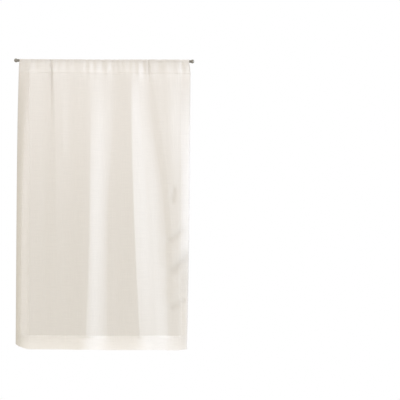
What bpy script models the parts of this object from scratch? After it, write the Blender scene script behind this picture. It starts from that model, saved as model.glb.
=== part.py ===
"""A sheer curtain panel hanging by its rod pocket on a thin round rod with a ball finial at each end.

Units are metres, with +Z up. +X runs along the rod, to the right as the room sees it, and the room is
on the -Y side. The origin is on the rod's axis, half-way along the rod.
"""

from math import cos, pi, radians, sin
from typing import NamedTuple

import bmesh
import bpy

MM = 0.001
PIECE_GAP = 0.3 * MM

# Rod: a thin steel tube
ROD_RADIUS = 8 * MM
ROD_WALL = 1 * MM
ROD_LENGTH = 1252 * MM
ROD_SIDES = 32

# Finials: a ball on a collar, with a spigot that fits inside the tube
BALL_RADIUS = 14 * MM
BALL_CENTRE = 23 * MM
COLLAR_RADIUS = 10 * MM
COLLAR_EDGE = 1 * MM
NECK_TURN = radians(40)
SPIGOT_RADIUS = ROD_RADIUS - ROD_WALL - PIECE_GAP
SPIGOT_LENGTH = 18 * MM
SPIGOT_LEAD = 1.5 * MM
FINIAL_SIDES = 24
BALL_STEPS = 12

# Cloth: single, and doubled where it is hemmed
HEM_THICKNESS = 2.4 * MM
SINGLE_SHARE = 0.5
HEM_DEPTH = 105 * MM
HEM_STEP = 3 * MM

# Rod pocket: the cloth turned over the rod and sewn to itself below it. Its radius is to the middle of
# the cloth's thickness, and leaves room for the flats between its steps
STITCH_DROP = 87 * MM
POCKET_HALF_WIDTH = 623 * MM
POCKET_RADIUS = ROD_RADIUS + 1.1 * MM
POCKET_STEPS = 8
POCKET_ROWS = 4

# Rows of the panel between the stitch line and the hem
PANEL_ROWS = 22
HEM_ROWS = 2


class FoldLine(NamedTuple):
    """A ridge, valley or edge that runs down the panel. Millimetres: x is its place along the rod and
    y its depth behind the rod's axis, at the four LEVELS. Drop is how far below the rod's axis it
    meets the lower edge. Sharp runs from 0, a round fold, to 1, a crease. Columns is how many columns
    of the mesh lead to the next line.
    """

    name: str
    x_top: float
    x_high: float
    x_mid: float
    x_low: float
    y_top: float
    y_high: float
    y_mid: float
    y_low: float
    drop: float
    sharp: float
    columns: int


# Shares of the way down from the stitch line to the lower edge
LEVELS = (0.0, 0.2, 0.55, 1.0)

FOLD_LINES = (
    FoldLine("left edge", -631, -650, -665, -671, 8, 50, 90, 115, 2099, 0.0, 4),
    FoldLine("left turn", -560, -580, -598, -602, 1, -5, -8, -9, 2116, 0.4, 2),
    FoldLine("left hem", -547, -546, -544, -540, -3, -7, -10, -12, 2119, 0.0, 4),
    FoldLine("left pinch valley", -402, -414, -425, -420, 5, -3, -14, -18, 2118, 0.3, 2),
    FoldLine("left pinch ridge", -379, -360, -343, -330, -7, -16, -25, -28, 2116, 0.5, 4),
    FoldLine("left swell", -273, -266, -254, -247, -3, -13, -30, -36, 2115, 0.0, 4),
    FoldLine("middle ridge", -110, -95, -91, -107, -8, -27, -46, -59, 2114, 0.3, 6),
    FoldLine("middle valley", 80, 66, 28, 24, 11, 17, 7, -4, 2127, 0.3, 5),
    FoldLine("sharp ridge", 198, 204, 228, 274, -4, 1, -11, -24, 2122, 0.9, 3),
    FoldLine("ridge slope", 252, 278, 342, 392, -1, 29, 34, 10, 2128, 0.0, 3),
    FoldLine("right valley", 307, 358, 448, 480, 8, 46, 61, 38, 2134, 0.3, 2),
    FoldLine("right pinch ridge", 345, 418, 492, 525, -4, 40, 56, 40, 2135, 0.4, 3),
    FoldLine("right shoulder", 448, 470, 545, 560, -7, 42, 58, 41, 2134, 0.0, 2),
    FoldLine("right hem", 564, 565, 568, 574, 3, 54, 61, 43, 2132, 0.0, 3),
    FoldLine("right edge", 636, 634, 633, 623, 8, 74, 88, 44, 2127, 0.0, 0),
)
LINE_NAMES = [line.name for line in FOLD_LINES]


class Puff(NamedTuple):
    """A place along the rod where the gathered pocket stands out. Millimetres."""

    x: float
    half_width: float
    height: float


PUFFS = (
    Puff(-552, 48, 2.5),
    Puff(-452, 46, 3.5),
    Puff(-345, 50, 3.5),
    Puff(-250, 42, 2.0),
    Puff(-150, 52, 3.5),
    Puff(-45, 44, 3.0),
    Puff(20, 38, 2.5),
    Puff(116, 48, 3.5),
    Puff(232, 52, 4.0),
    Puff(360, 54, 4.0),
    Puff(490, 56, 3.5),
    Puff(600, 40, 2.5),
)


class Column(NamedTuple):
    """A column of the panel's mesh: the fold line on its left and the share of the way to the next."""

    line: int
    share: float
    hemmed: bool


class Row(NamedTuple):
    """A row of the panel's mesh: its share of the way down and its height over the lower edge."""

    share: float
    over_edge: float
    hemmed: bool


def new_material(name, colour, roughness, metallic):
    material = bpy.data.materials.new(name)
    material.use_nodes = True
    shader = material.node_tree.nodes["Principled BSDF"]
    shader.inputs["Base Color"].default_value = (*colour, 1)
    shader.inputs["Roughness"].default_value = roughness
    shader.inputs["Metallic"].default_value = metallic
    return material


def new_object(name, mesh, collection, material):
    piece = bpy.data.objects.new(name, mesh)
    collection.objects.link(piece)
    mesh.materials.clear()
    mesh.materials.append(material)
    return piece


def monotone_slopes(places, values):
    """Slopes for a smooth curve through the points that overshoots none of them."""
    secants = [
        (values[i + 1] - values[i]) / (places[i + 1] - places[i]) for i in range(len(places) - 1)
    ]
    slopes = [secants[0]]
    for before, after in zip(secants, secants[1:]):
        turning = before * after <= 0
        slopes.append(0.0 if turning else 2 * before * after / (before + after))
    slopes.append(secants[-1])
    return slopes


def hermite(start, end, start_slope, end_slope, share):
    """A cubic between two values. The slopes are those over the whole span."""
    squared, cubed = share**2, share**3
    return (
        (2 * cubed - 3 * squared + 1) * start
        + (cubed - 2 * squared + share) * start_slope
        + (3 * squared - 2 * cubed) * end
        + (cubed - squared) * end_slope
    )


def at_level(values, share):
    """One value of a fold line, read from its values at the LEVELS."""
    slopes = monotone_slopes(LEVELS, values)
    span = 0
    while span < len(LEVELS) - 2 and share > LEVELS[span + 1]:
        span += 1
    length = LEVELS[span + 1] - LEVELS[span]
    return hermite(
        values[span],
        values[span + 1],
        slopes[span] * length,
        slopes[span + 1] * length,
        (share - LEVELS[span]) / length,
    )


def line_places(share):
    """Each fold line's x and y, in millimetres, this share of the way down."""
    across = [
        at_level((line.x_top, line.x_high, line.x_mid, line.x_low), share) for line in FOLD_LINES
    ]
    depths = [
        at_level((line.y_top, line.y_high, line.y_mid, line.y_low), share) for line in FOLD_LINES
    ]
    return across, depths


def panel_point(column, row):
    """The middle of the cloth's thickness at a column and a row, in metres."""
    across, depths = line_places(row.share)
    left, right = column.line, column.line + 1
    gap = across[right] - across[left]
    rise = depths[right] - depths[left]
    slopes = monotone_slopes(across, depths)
    left_sharp, right_sharp = FOLD_LINES[left].sharp, FOLD_LINES[right].sharp
    x = across[left] + gap * column.share
    y = hermite(
        depths[left],
        depths[right],
        slopes[left] * gap * (1 - left_sharp) + rise * left_sharp,
        slopes[right] * gap * (1 - right_sharp) + rise * right_sharp,
        column.share,
    )
    drop = FOLD_LINES[left].drop * (1 - column.share) + FOLD_LINES[right].drop * column.share
    edge = -drop * MM
    z = -STITCH_DROP + (edge + row.over_edge + STITCH_DROP) * row.share
    return x * MM, y * MM, z


def panel_columns():
    """The columns from the left edge to the right edge, with a close pair at each side hem's step."""
    left_hem, right_hem = LINE_NAMES.index("left hem"), LINE_NAMES.index("right hem")
    columns = []
    for index, (line, following) in enumerate(zip(FOLD_LINES, FOLD_LINES[1:])):
        hemmed = index < left_hem or index >= right_hem
        step = HEM_STEP / MM / (following.x_mid - line.x_mid)
        for count in range(line.columns):
            on_hem = hemmed or (index == left_hem and count == 0)
            columns.append(Column(index, count / line.columns, on_hem))
            if index == left_hem and count == 0:
                columns.append(Column(index, step, False))
        if index == right_hem - 1:
            columns.append(Column(index, 1 - step, False))
    columns.append(Column(len(FOLD_LINES) - 2, 1.0, True))
    return columns


def panel_rows():
    """The rows from the lower edge up to the stitch line, with a close pair at the hem's step."""
    rows = [Row(1.0, HEM_DEPTH * count / HEM_ROWS, True) for count in range(HEM_ROWS + 1)]
    rows.append(Row(1.0, HEM_DEPTH + HEM_STEP, False))
    drop = max(line.drop for line in FOLD_LINES) * MM - STITCH_DROP
    above_hem = 1 - (HEM_DEPTH + HEM_STEP) / drop
    rows += [
        Row(above_hem * (1 - count / PANEL_ROWS), 0.0, False) for count in range(1, PANEL_ROWS)
    ]
    return rows


def puff_at(x):
    """How far the pocket stands out at its fullest, this far along the rod, in metres."""
    height = 0.0
    for puff in PUFFS:
        away = abs(x / MM - puff.x) / puff.half_width
        if away < 1:
            height += puff.height * MM * (1 + cos(pi * away)) / 2
    return height


def pocket_path(stitch):
    """The pocket's section above one point of the stitch line: up the front, over the rod and down
    the back to the same point.
    """
    puff = puff_at(stitch[0])
    path = []
    for count in range(POCKET_ROWS):
        share = count / POCKET_ROWS
        y = stitch[1] * (1 - share) - POCKET_RADIUS * share - puff * sin(pi * share)
        path.append((y, -STITCH_DROP * (1 - share)))
    for count in range(POCKET_STEPS + 1):
        turn = pi * count / POCKET_STEPS
        path.append((-POCKET_RADIUS * cos(turn), POCKET_RADIUS * sin(turn)))
    for count in range(1, POCKET_ROWS + 1):
        share = count / POCKET_ROWS
        y = stitch[1] * share + POCKET_RADIUS * (1 - share) + puff * sin(pi * share)
        path.append((y, -STITCH_DROP * share))
    half_width = FOLD_LINES[-1].x_top * MM
    points = []
    for y, z in path:
        closeness = 1 - max(-z, 0.0) / STITCH_DROP
        narrowing = 1 - closeness * (1 - POCKET_HALF_WIDTH / half_width)
        points.append((stitch[0] * narrowing, y, z))
    return points


def add_curtain(collection):
    """The panel and its pocket as one surface that meets itself at the stitch line, then thickened."""
    columns, rows = panel_columns(), panel_rows()
    surface = bmesh.new()
    stitches = [panel_point(column, Row(0.0, 0.0, False)) for column in columns]
    pockets = [pocket_path(stitch) for stitch in stitches]
    row_count = len(rows) + len(pockets[0])
    bmesh.ops.create_grid(surface, x_segments=len(columns) - 1, y_segments=row_count - 1)
    surface.verts.ensure_lookup_table()
    doubled = surface.verts.layers.deform.verify()
    for vertex in surface.verts:
        row, column = divmod(vertex.index, len(columns))
        on_panel = row < len(rows)
        if on_panel:
            vertex.co = panel_point(columns[column], rows[row])
        else:
            vertex.co = pockets[column][row - len(rows)]
        on_hem = on_panel and (rows[row].hemmed or columns[column].hemmed)
        vertex[doubled][0] = 1.0 if on_hem else 0.0
    bmesh.ops.remove_doubles(surface, verts=surface.verts, dist=0.01 * MM)
    mesh = bpy.data.meshes.new("curtain")
    surface.to_mesh(mesh)
    surface.free()
    mesh.shade_smooth()
    voile = new_material("voile", (0.86, 0.82, 0.76), 0.9, 0.0)
    curtain = new_object("curtain", mesh, collection, voile)
    curtain.vertex_groups.new(name="doubled")
    thickness = curtain.modifiers.new("thickness", "SOLIDIFY")
    thickness.solidify_mode = "NON_MANIFOLD"
    thickness.nonmanifold_thickness_mode = "CONSTRAINTS"
    thickness.thickness = HEM_THICKNESS
    thickness.offset = 0
    thickness.vertex_group = "doubled"
    thickness.thickness_vertex_group = SINGLE_SHARE
    return curtain


def add_rod(collection, metal):
    """The tube along X, its wall growing inwards from its outer face."""
    bpy.ops.mesh.primitive_cylinder_add(
        vertices=ROD_SIDES,
        radius=ROD_RADIUS,
        depth=ROD_LENGTH,
        end_fill_type="NOTHING",
        rotation=(0, radians(90), 0),
    )
    made = bpy.context.object
    rod = new_object("rod", made.data, collection, metal)
    rod.rotation_euler = made.rotation_euler
    bpy.data.objects.remove(made)
    rod.data.shade_smooth()
    rod.data.set_sharp_from_angle(angle=radians(30))
    wall = rod.modifiers.new("wall", "SOLIDIFY")
    wall.thickness = ROD_WALL
    wall.offset = -1
    return rod


def finial_profile():
    """Radius and height from the ball's tip down to the spigot's end. Height 0 is the tube's end."""
    shoulder = BALL_CENTRE - BALL_RADIUS * cos(NECK_TURN)
    profile = []
    for count in range(BALL_STEPS + 1):
        turn = (pi - NECK_TURN) * count / BALL_STEPS
        profile.append((BALL_RADIUS * sin(turn), BALL_CENTRE + BALL_RADIUS * cos(turn)))
    profile.append((COLLAR_RADIUS, shoulder - COLLAR_EDGE))
    profile.append((COLLAR_RADIUS, PIECE_GAP + COLLAR_EDGE))
    profile.append((COLLAR_RADIUS - COLLAR_EDGE, PIECE_GAP))
    profile.append((SPIGOT_RADIUS, PIECE_GAP))
    profile.append((SPIGOT_RADIUS, SPIGOT_LEAD - SPIGOT_LENGTH))
    profile.append((SPIGOT_RADIUS - SPIGOT_LEAD, -SPIGOT_LENGTH))
    profile.append((0.0, -SPIGOT_LENGTH))
    return profile


def add_finial(name, side, collection, metal):
    """A turned finial in the tube's end. Side is 1 for the right end and -1 for the left."""
    profile = [(radius, 0.0, height) for radius, height in finial_profile()]
    edges = [(index, index + 1) for index in range(len(profile) - 1)]
    mesh = bpy.data.meshes.new(name)
    mesh.from_pydata(profile, edges, [])
    finial = new_object(name, mesh, collection, metal)
    finial.location = (side * ROD_LENGTH / 2, 0, 0)
    finial.rotation_euler = (0, side * radians(90), 0)
    turning = finial.modifiers.new("turning", "SCREW")
    turning.steps = FINIAL_SIDES
    turning.render_steps = FINIAL_SIDES
    turning.use_merge_vertices = True
    turning.merge_threshold = 0.01 * MM
    turning.use_smooth_shade = True
    return finial


def main():
    for piece in list(bpy.data.objects):
        bpy.data.objects.remove(piece)
    collection = bpy.data.collections.new("sheer_curtain")
    bpy.context.scene.collection.children.link(collection)
    pewter = new_material("satin pewter", (0.28, 0.27, 0.25), 0.35, 1.0)
    add_curtain(collection)
    add_rod(collection, pewter)
    add_finial("finial_left", -1, collection, pewter)
    add_finial("finial_right", 1, collection, pewter)


main()
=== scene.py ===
"""Dresses a sheer rod pocket curtain: its cloth, stitching, rod and finials, and a plain stage.

Units are metres, in the part's own frame: +Z is up, +X runs along the rod to the right as the room
sees it, the room is on the -Y side, and the origin is on the rod's axis, half-way along it.
"""

from functools import lru_cache
from math import cos, pi, radians, sin
from typing import NamedTuple

import bmesh
import bpy
import numpy as np
from bpy.props import FloatProperty, FloatVectorProperty, IntProperty, PointerProperty
from bpy.types import Operator, Panel, PropertyGroup
from mathutils import Matrix, Vector


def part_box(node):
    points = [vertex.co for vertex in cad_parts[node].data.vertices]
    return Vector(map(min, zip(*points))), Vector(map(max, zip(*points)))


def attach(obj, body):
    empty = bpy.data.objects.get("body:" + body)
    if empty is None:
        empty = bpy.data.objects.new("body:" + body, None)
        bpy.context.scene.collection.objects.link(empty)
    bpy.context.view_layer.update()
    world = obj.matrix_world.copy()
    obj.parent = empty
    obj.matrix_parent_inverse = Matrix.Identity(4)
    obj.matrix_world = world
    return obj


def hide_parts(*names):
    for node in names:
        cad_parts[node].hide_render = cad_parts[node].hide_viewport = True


bl_info = {
    "name": "Sheer Curtain",
    "version": (1, 0, 0),
    "blender": (4, 5, 0),
    "location": "View3D > Sidebar > Curtain",
    "description": "Models a sheer rod pocket curtain on its rod",
    "category": "Add Mesh",
}

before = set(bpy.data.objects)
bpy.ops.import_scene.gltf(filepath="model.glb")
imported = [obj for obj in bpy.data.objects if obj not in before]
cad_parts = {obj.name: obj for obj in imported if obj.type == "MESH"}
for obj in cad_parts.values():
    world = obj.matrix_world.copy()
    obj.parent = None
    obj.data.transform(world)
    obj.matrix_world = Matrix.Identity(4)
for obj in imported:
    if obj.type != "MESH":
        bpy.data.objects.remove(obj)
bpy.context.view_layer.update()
ROD_LOW, ROD_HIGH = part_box("rod")
CLOTH_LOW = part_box("curtain")[0]
ROD_RADIUS = (ROD_HIGH[2] - ROD_LOW[2]) / 2
ROD_END = ROD_HIGH[0]
MM = 0.001


class FoldLine(NamedTuple):
    """A ridge, valley or edge that runs down the panel. Millimetres: x is its place along the rod and
    y its depth behind the rod's axis, at the four LEVELS. Drop is how far below the rod's axis it
    meets the lower edge. Sharp runs from 0, a round fold, to 1, a crease.
    """

    name: str
    x_top: float
    x_high: float
    x_mid: float
    x_low: float
    y_top: float
    y_high: float
    y_mid: float
    y_low: float
    drop: float
    sharp: float


# Shares of the way down from the stitch line to the hem
LEVELS = (0.0, 0.2, 0.55, 1.0)

FOLD_LINES = (
    FoldLine("left edge", -631, -649, -663, -670, 8, 50, 90, 115, 2112, 0.0),
    FoldLine("left turn", -560, -580, -598, -602, 1, -5, -8, -9, 2112, 0.4),
    FoldLine("left hem", -547, -546, -544, -540, -3, -7, -10, -12, 2124, 0.0),
    FoldLine("left pinch valley", -393, -410, -425, -420, 4, -3, -14, -18, 2122, 0.3),
    FoldLine("left pinch ridge", -374, -355, -341, -330, -6, -16, -25, -28, 2121, 0.5),
    FoldLine("left swell", -273, -266, -254, -247, -3, -13, -30, -36, 2119, 0.0),
    FoldLine("middle ridge", -110, -95, -94, -112, -10, -27, -49, -64, 2115, 0.3),
    FoldLine("middle valley", 80, 66, 33, 34, 11, 17, 8, -2, 2128, 0.3),
    FoldLine("sharp ridge", 198, 204, 228, 274, -5, 1, -11, -24, 2122, 0.9),
    FoldLine("ridge slope", 252, 278, 342, 392, 3, 30, 34, 10, 2126, 0.0),
    FoldLine("right valley", 307, 358, 448, 480, 9, 46, 61, 38, 2132, 0.3),
    FoldLine("right pinch ridge", 345, 418, 492, 525, 6, 40, 56, 40, 2133, 0.4),
    FoldLine("right shoulder", 448, 470, 545, 560, 2, 42, 58, 41, 2132, 0.0),
    FoldLine("right hem", 564, 565, 568, 574, 7, 59, 62, 43, 2130, 0.0),
    FoldLine("right edge", 636, 634, 633, 623, 13, 79, 88, 44, 2125, 0.0),
)
LINE_NAMES = [line.name for line in FOLD_LINES]


class Gather(NamedTuple):
    """A pinch where the gathered cloth is drawn in, or a swell where its depth is below 0. Millimetres:
    its place along the rod at the rod, at the seam under the pocket and at its lower end, how far
    below the seam it reaches, and half its width and its depth at the seam.
    """

    x_rod: float
    x_seam: float
    x_end: float
    reach: float
    half_width: float
    depth: float


GATHERS = (
    Gather(-583, -583, -583, 60, 24, 1.0),
    Gather(-506, -506, -506, 60, 28, 2.0),
    Gather(-404, -401, -397, 240, 16, 1.5),
    Gather(-394, -387, -383, 700, 9, 9.0),
    Gather(-344, -344, -344, 60, 18, 1.2),
    Gather(-285, -285, -285, 60, 24, 1.8),
    Gather(-219, -219, -219, 60, 30, 1.6),
    Gather(-131, -129, -126, 110, 16, 3.0),
    Gather(-79, -79, -75, 110, 17, 3.0),
    Gather(-13, -13, -10, 130, 24, 4.0),
    Gather(24, 24, 24, 90, 14, -3.6),
    Gather(58, 58, 58, 110, 17, 4.0),
    Gather(92, 92, 84, 250, 20, 3.4),
    Gather(134, 134, 134, 60, 15, 1.5),
    Gather(187, 187, 190, 120, 22, 2.2),
    Gather(230, 230, 230, 60, 14, 1.0),
    Gather(257, 256, 256, 100, 17, -6.5),
    Gather(292, 292, 293, 120, 18, 3.4),
    Gather(329, 328, 348, 220, 10, 7.5),
    Gather(414, 404, 400, 130, 32, 5.0),
    Gather(507, 506, 506, 110, 22, 3.0),
    Gather(580, 578, 576, 110, 20, 3.5),
)


class Crease(NamedTuple):
    """A soft trough, or a ridge where its height is above 0. Millimetres: it runs from one end to the
    other, x along the rod and z above the rod's axis, and fades out past each end.
    """

    x_start: float
    z_start: float
    x_end: float
    z_end: float
    half_width: float
    height: float


CREASES = (
    Crease(-300, -200, -292, -760, 28, 3.2),
    Crease(498, -1060, 520, -910, 22, -4.0),
    Crease(462, -1348, 598, -1222, 22, -4.5),
    Crease(470, -1440, 585, -1345, 26, 2.0),
    Crease(474, -1585, 640, -1400, 32, -5.5),
    Crease(470, -1720, 600, -1650, 30, 2.0),
    Crease(470, -1846, 620, -1752, 24, -3.8),
    Crease(634, -1430, 632, -1980, 44, 4.5),
    Crease(-168, -2030, -170, -2160, 40, 12.0),
)

# The pocket: the seam's drop below the rod's axis, its half width at the rod, the cloth's lie over the
# rod and how far it stands out, and the margin below the seam at its back
STITCH_DROP = 85 * MM
POCKET_HALF_WIDTH = 626 * MM
POCKET_RADIUS = ROD_RADIUS + 1 * MM
POCKET_BULGE = 3.5 * MM
POCKET_CROWN = 1.8 * MM
POCKET_MARGIN = 4 * MM
POCKET_FRONT_ROWS = 18
POCKET_ARC_STEPS = 12
POCKET_BACK_ROWS = 8

# The pocket's back comes down this far behind the seam. Its turned edge is then given row by row, as
# distances behind the seam and below it
POCKET_BACK_GAP = 1.2 * MM
POCKET_TURNED_EDGE = (
    (1.5 * MM, POCKET_MARGIN),
    (0.8 * MM, POCKET_MARGIN - 0.5 * MM),
    (0.6 * MM, 0.0),
)

# The cloth stands higher over the rod from here to the right
CROWN_RISE = 3.2 * MM
CROWN_RISE_START = -100 * MM
CROWN_RISE_SPAN = 600 * MM

# The panel from its lower edge to the seam. Beside its edges and stitching, rows and columns lie at
# these close distances, in millimetres for the columns
PANEL_LENGTH = 2035 * MM
CLOSE_COLUMNS = (0.0, 0.6, 1.5, 3.5)
CLOSE_ROWS = (0.0, 0.5 * MM, 1.5 * MM, 3 * MM)
SEAM_ROWS = (0.0, 1.5 * MM, POCKET_MARGIN, POCKET_MARGIN + 1 * MM)
HEM_ROWS = 14
RETURN_DENSITY = 1.6

# The lower hem. Its double cloth is stiff, so that towards its edge the folds grow rounder and draw
# nearer to one depth, but not within its return at the left edge
HEM_DEPTH = 105 * MM
HEM_EASE = 0.3
HEM_MIDDLE = -5 * MM
HEM_SPREAD = 36 * MM
HEM_STIFFENING = 20 * MM
HEM_RETURN = 160 * MM

# Folds are round at the seam, and reach their own sharpness down the panel
SHARP_AT_SEAM = 0.1
SHARPENING = 3

# Gathers grow wider below the seam, and narrower and shallower up to the rod, where they pull hardest.
# From the closing depth on, in millimetres, they leave the pocket no fullness
GATHER_WIDENING = 1.4
GATHER_NARROWING = 0.3
GATHER_FADE = 0.7
GATHER_CLOSING = 4
LEAST_TIGHTNESS = 0.2
PULL_RISE = 0.25
PULL_AT_ROD = 0.8
PULL_AT_ROD_POWER = 6

# Shares of a crease's length: half of the part with its full height, and the fade at each end
CREASE_CORE = 0.25
CREASE_FADE = 0.25

# Small unevenness, at its full height from this far below the seam on
WANDER_HEIGHT = 0.35 * MM
WANDER_START = 60 * MM

# How folds are rounded off: the bell curve's reach and the row's padding in spreads, the samples along
# the curve, and the columns that give each end's slope
SPREAD_REACH = 2.5
SPREAD_PADDING = 3
SPREAD_SAMPLES = 21
END_COLUMNS = 4

# The right edge rolls back, fully from this far below the seam on
EDGE_ROLL = 2.5 * MM
EDGE_ROLL_REACH = 7 * MM
EDGE_ROLL_FULL = 700 * MM

# Turned layers lie this far behind the front, less in the pocket, and open from a round fold
SIDE_GAP = 0.6 * MM
POCKET_SIDE_SHARE = 0.5
HEM_GAP = 1.4 * MM
FOLD_RADIUS = 1.5 * MM

# Cloth that is packed together is less see-through, and painted shade darkens it: in its gathers,
# in the creases' troughs, along its folded edges and in front of the rod. A full tuck counts as 1
TUCK_START = 2 * MM
TUCK_FULL = 12 * MM
TUCK_LIMIT = 1.6
TROUGH_FULL = 11 * MM
EDGE_SHADE_WIDTH = 6 * MM
EDGE_SHADE_END = 1.6
PAINTED_ROD_SHADE = 0.33
PAINTED_ROD_SHADE_DROP = 6 * MM
PAINTED_ROD_SHADE_REACH = 6 * MM


class Shift(NamedTuple):
    """A painted change of light and shade in how pale the cloth shows. It comes in from start over span,
    which are shares of the way down the panel.
    """

    amount: float
    start: float
    span: float


# How pale each turned part shows, from 0 for one layer of cloth to 1 for the hem's lower edge. The
# side hems' shifts down the panel are painted light and shade, and the pocket's gain towards the
# seam leaves it darker near the rod as painted shade
HEM_TOP_PALENESS = 0.81
HEM_EDGE_PALENESS = 1.0
POCKET_PALENESS = 0.52
POCKET_SEAM_GAIN = 0.22
MARGIN_PALENESS = 0.44
LEFT_SIDE_PALENESS = 0.31
LEFT_SIDE_SLOPE = 0.08
LEFT_SIDE_SHIFTS = (Shift(0.24, 0.0, 0.45),)
RIGHT_SIDE_PALENESS = 0.26
RIGHT_SIDE_SHIFTS = (Shift(0.06, 0.0, 0.4), Shift(-0.08, 0.62, 0.07), Shift(0.3, 0.76, 0.08))
RIGHT_EDGE_PALENESS = 0.16
RIGHT_EDGE_SHIFTS = (Shift(-0.14, 0.62, 0.07),)

# Factors on how pale the corners show. Those on the left change from the edge to the side hem's
# stitching, as painted shade on the return that turns away from the light, and the side hem loses a
# little just before it
LOWER_LEFT_CORNER = (0.5, 1.0)
UPPER_LEFT_CORNER = (0.75, 1.2)
UPPER_RIGHT_CORNER = 1.3
LEFT_RUN_COLUMN = 2
LEFT_RUN_SHARE = 0.8
LEFT_INNER_LOSS = 0.2
LEFT_INNER_START = 0.75

# Painted light: the cloth is paler just below the seam, and at the right further down, on the side
# of the window light. There the hem and the pocket are less pale
PAINTED_SEAM_LIGHT = 0.17
PAINTED_SEAM_LIGHT_REACH = 45 * MM
RIGHT_START = 300 * MM
RIGHT_SPAN = 110 * MM
PAINTED_RIGHT_LIGHT = 0.1
PAINTED_RIGHT_LIGHT_REACH = 250 * MM
RIGHT_HEM_LOSS = 0.13
RIGHT_POCKET_LOSS = 0.06

ROUNDING = 1e-6

# Metres of cloth in one unit of its UV map, so that the whole cut lies inside the map
UV_SPAN = 2.5


def length_field(name, description, default):
    return FloatProperty(name=name, description=description, default=default, unit="LENGTH")


def colour_field(name, description, default):
    return FloatVectorProperty(
        name=name, description=description, default=default, subtype="COLOR", min=0, max=1
    )


def power_field(name, description, default):
    return FloatProperty(name=name, description=description, default=default, min=0, unit="POWER")


class ClothSettings(PropertyGroup):
    column_spacing: length_field(
        "Column spacing", "Distance between the columns of the cloth's mesh", 4.6 * MM
    )
    row_spacing: length_field("Row spacing", "Distance between the rows of the cloth's mesh", 12 * MM)
    single_colour: colour_field(
        "Single cloth", "Colour of one layer of the voile", (0.705, 0.675, 0.622)
    )
    doubled_colour: colour_field(
        "Hemmed cloth", "Colour of the voile where it is turned and hemmed", (0.99, 0.98, 0.96)
    )
    opacity: FloatProperty(
        name="Opacity",
        description="How much of what is behind it one layer of the voile hides",
        default=0.8,
        min=0,
        max=1,
        subtype="FACTOR",
    )


class SeamSettings(PropertyGroup):
    stitch_length: length_field("Stitch length", "Length of one lockstitch", 3.4 * MM)
    thread_radius: length_field("Thread radius", "Half the thickness of the sewing thread", 0.2 * MM)


class HardwareSettings(PropertyGroup):
    sides: IntProperty(name="Sides", description="Sides of the turned finials", default=48, min=8)
    metal_colour: colour_field("Pewter", "Colour of the satin pewter finish", (0.26, 0.25, 0.225))


class StageSettings(PropertyGroup):
    camera_distance: length_field("Camera distance", "From the camera to the plane of the rod", 5.0)
    floor_drop: length_field("Floor drop", "How far the floor lies below the curtain's hem", 0.12)
    ambient: FloatProperty(
        name="Room light",
        description="Strength of the light that comes from all round",
        default=0.905,
        min=0,
    )
    key_power: power_field("Window light", "Power of the broad light on the right", 371)
    fill_power: power_field("Ceiling light", "Power of the soft light above the room", 11)


def new_object(name, mesh, material):
    piece = bpy.data.objects.new(name, mesh)
    bpy.context.scene.collection.objects.link(piece)
    mesh.materials.clear()
    mesh.materials.append(material)
    return piece


def deselect_all():
    for piece in bpy.context.selected_objects:
        piece.select_set(False)


def monotone_slopes(places, values):
    """Slopes for a smooth curve through the points that overshoots none of them."""
    secants = [
        (values[i + 1] - values[i]) / (places[i + 1] - places[i]) for i in range(len(places) - 1)
    ]
    slopes = [secants[0]]
    for before, after in zip(secants, secants[1:]):
        turning = before * after <= 0
        slopes.append(0.0 if turning else 2 * before * after / (before + after))
    slopes.append(secants[-1])
    return slopes


def hermite(start, end, start_slope, end_slope, share):
    """A cubic between two values. The slopes are those over the whole span."""
    squared, cubed = share**2, share**3
    return (
        (2 * cubed - 3 * squared + 1) * start
        + (cubed - 2 * squared + share) * start_slope
        + (3 * squared - 2 * cubed) * end
        + (cubed - squared) * end_slope
    )


def at_level(values, share):
    """One value of a fold line, read from its values at the LEVELS."""
    slopes = monotone_slopes(LEVELS, values)
    span = 0
    while span < len(LEVELS) - 2 and share > LEVELS[span + 1]:
        span += 1
    length = LEVELS[span + 1] - LEVELS[span]
    return hermite(
        values[span],
        values[span + 1],
        slopes[span] * length,
        slopes[span + 1] * length,
        (share - LEVELS[span]) / length,
    )


class Column(NamedTuple):
    """A column of the cloth's mesh: the fold line on its left and the share of the way to the next."""

    line: int
    share: float


def cloth_columns(spacing):
    """The columns from edge to edge, closer at the edges and at the side hems' stitching."""
    columns = []
    for index, (line, following) in enumerate(zip(FOLD_LINES, FOLD_LINES[1:])):
        gap = following.x_mid - line.x_mid
        density = RETURN_DENSITY if index == 0 else 1
        count = max(2, round(gap * MM / spacing * density))
        shares = {step / count for step in range(count)}
        if line.name in ("left edge", "left hem", "right hem"):
            shares |= {step / gap for step in CLOSE_COLUMNS}
        if following.name in ("left hem", "right hem", "right edge"):
            shares |= {1 - step / gap for step in CLOSE_COLUMNS if step > 0}
        columns += [Column(index, share) for share in sorted(shares)]
    columns.append(Column(len(FOLD_LINES) - 2, 1.0))
    return columns


def panel_heights(spacing):
    """Heights of the panel's rows over its lower edge, closer at the edge, the hem and the stitching."""
    last = CLOSE_ROWS[-1]
    count = round((PANEL_LENGTH - HEM_DEPTH) / spacing)
    heights = set(CLOSE_ROWS)
    heights |= set(np.linspace(last, HEM_DEPTH - last, HEM_ROWS))
    heights |= {HEM_DEPTH - step for step in CLOSE_ROWS}
    heights |= {HEM_DEPTH + step for step in CLOSE_ROWS}
    heights |= set(np.linspace(HEM_DEPTH + last, PANEL_LENGTH, count))
    heights |= {PANEL_LENGTH - step for step in SEAM_ROWS}
    return sorted(round(height, 6) for height in heights)


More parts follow.
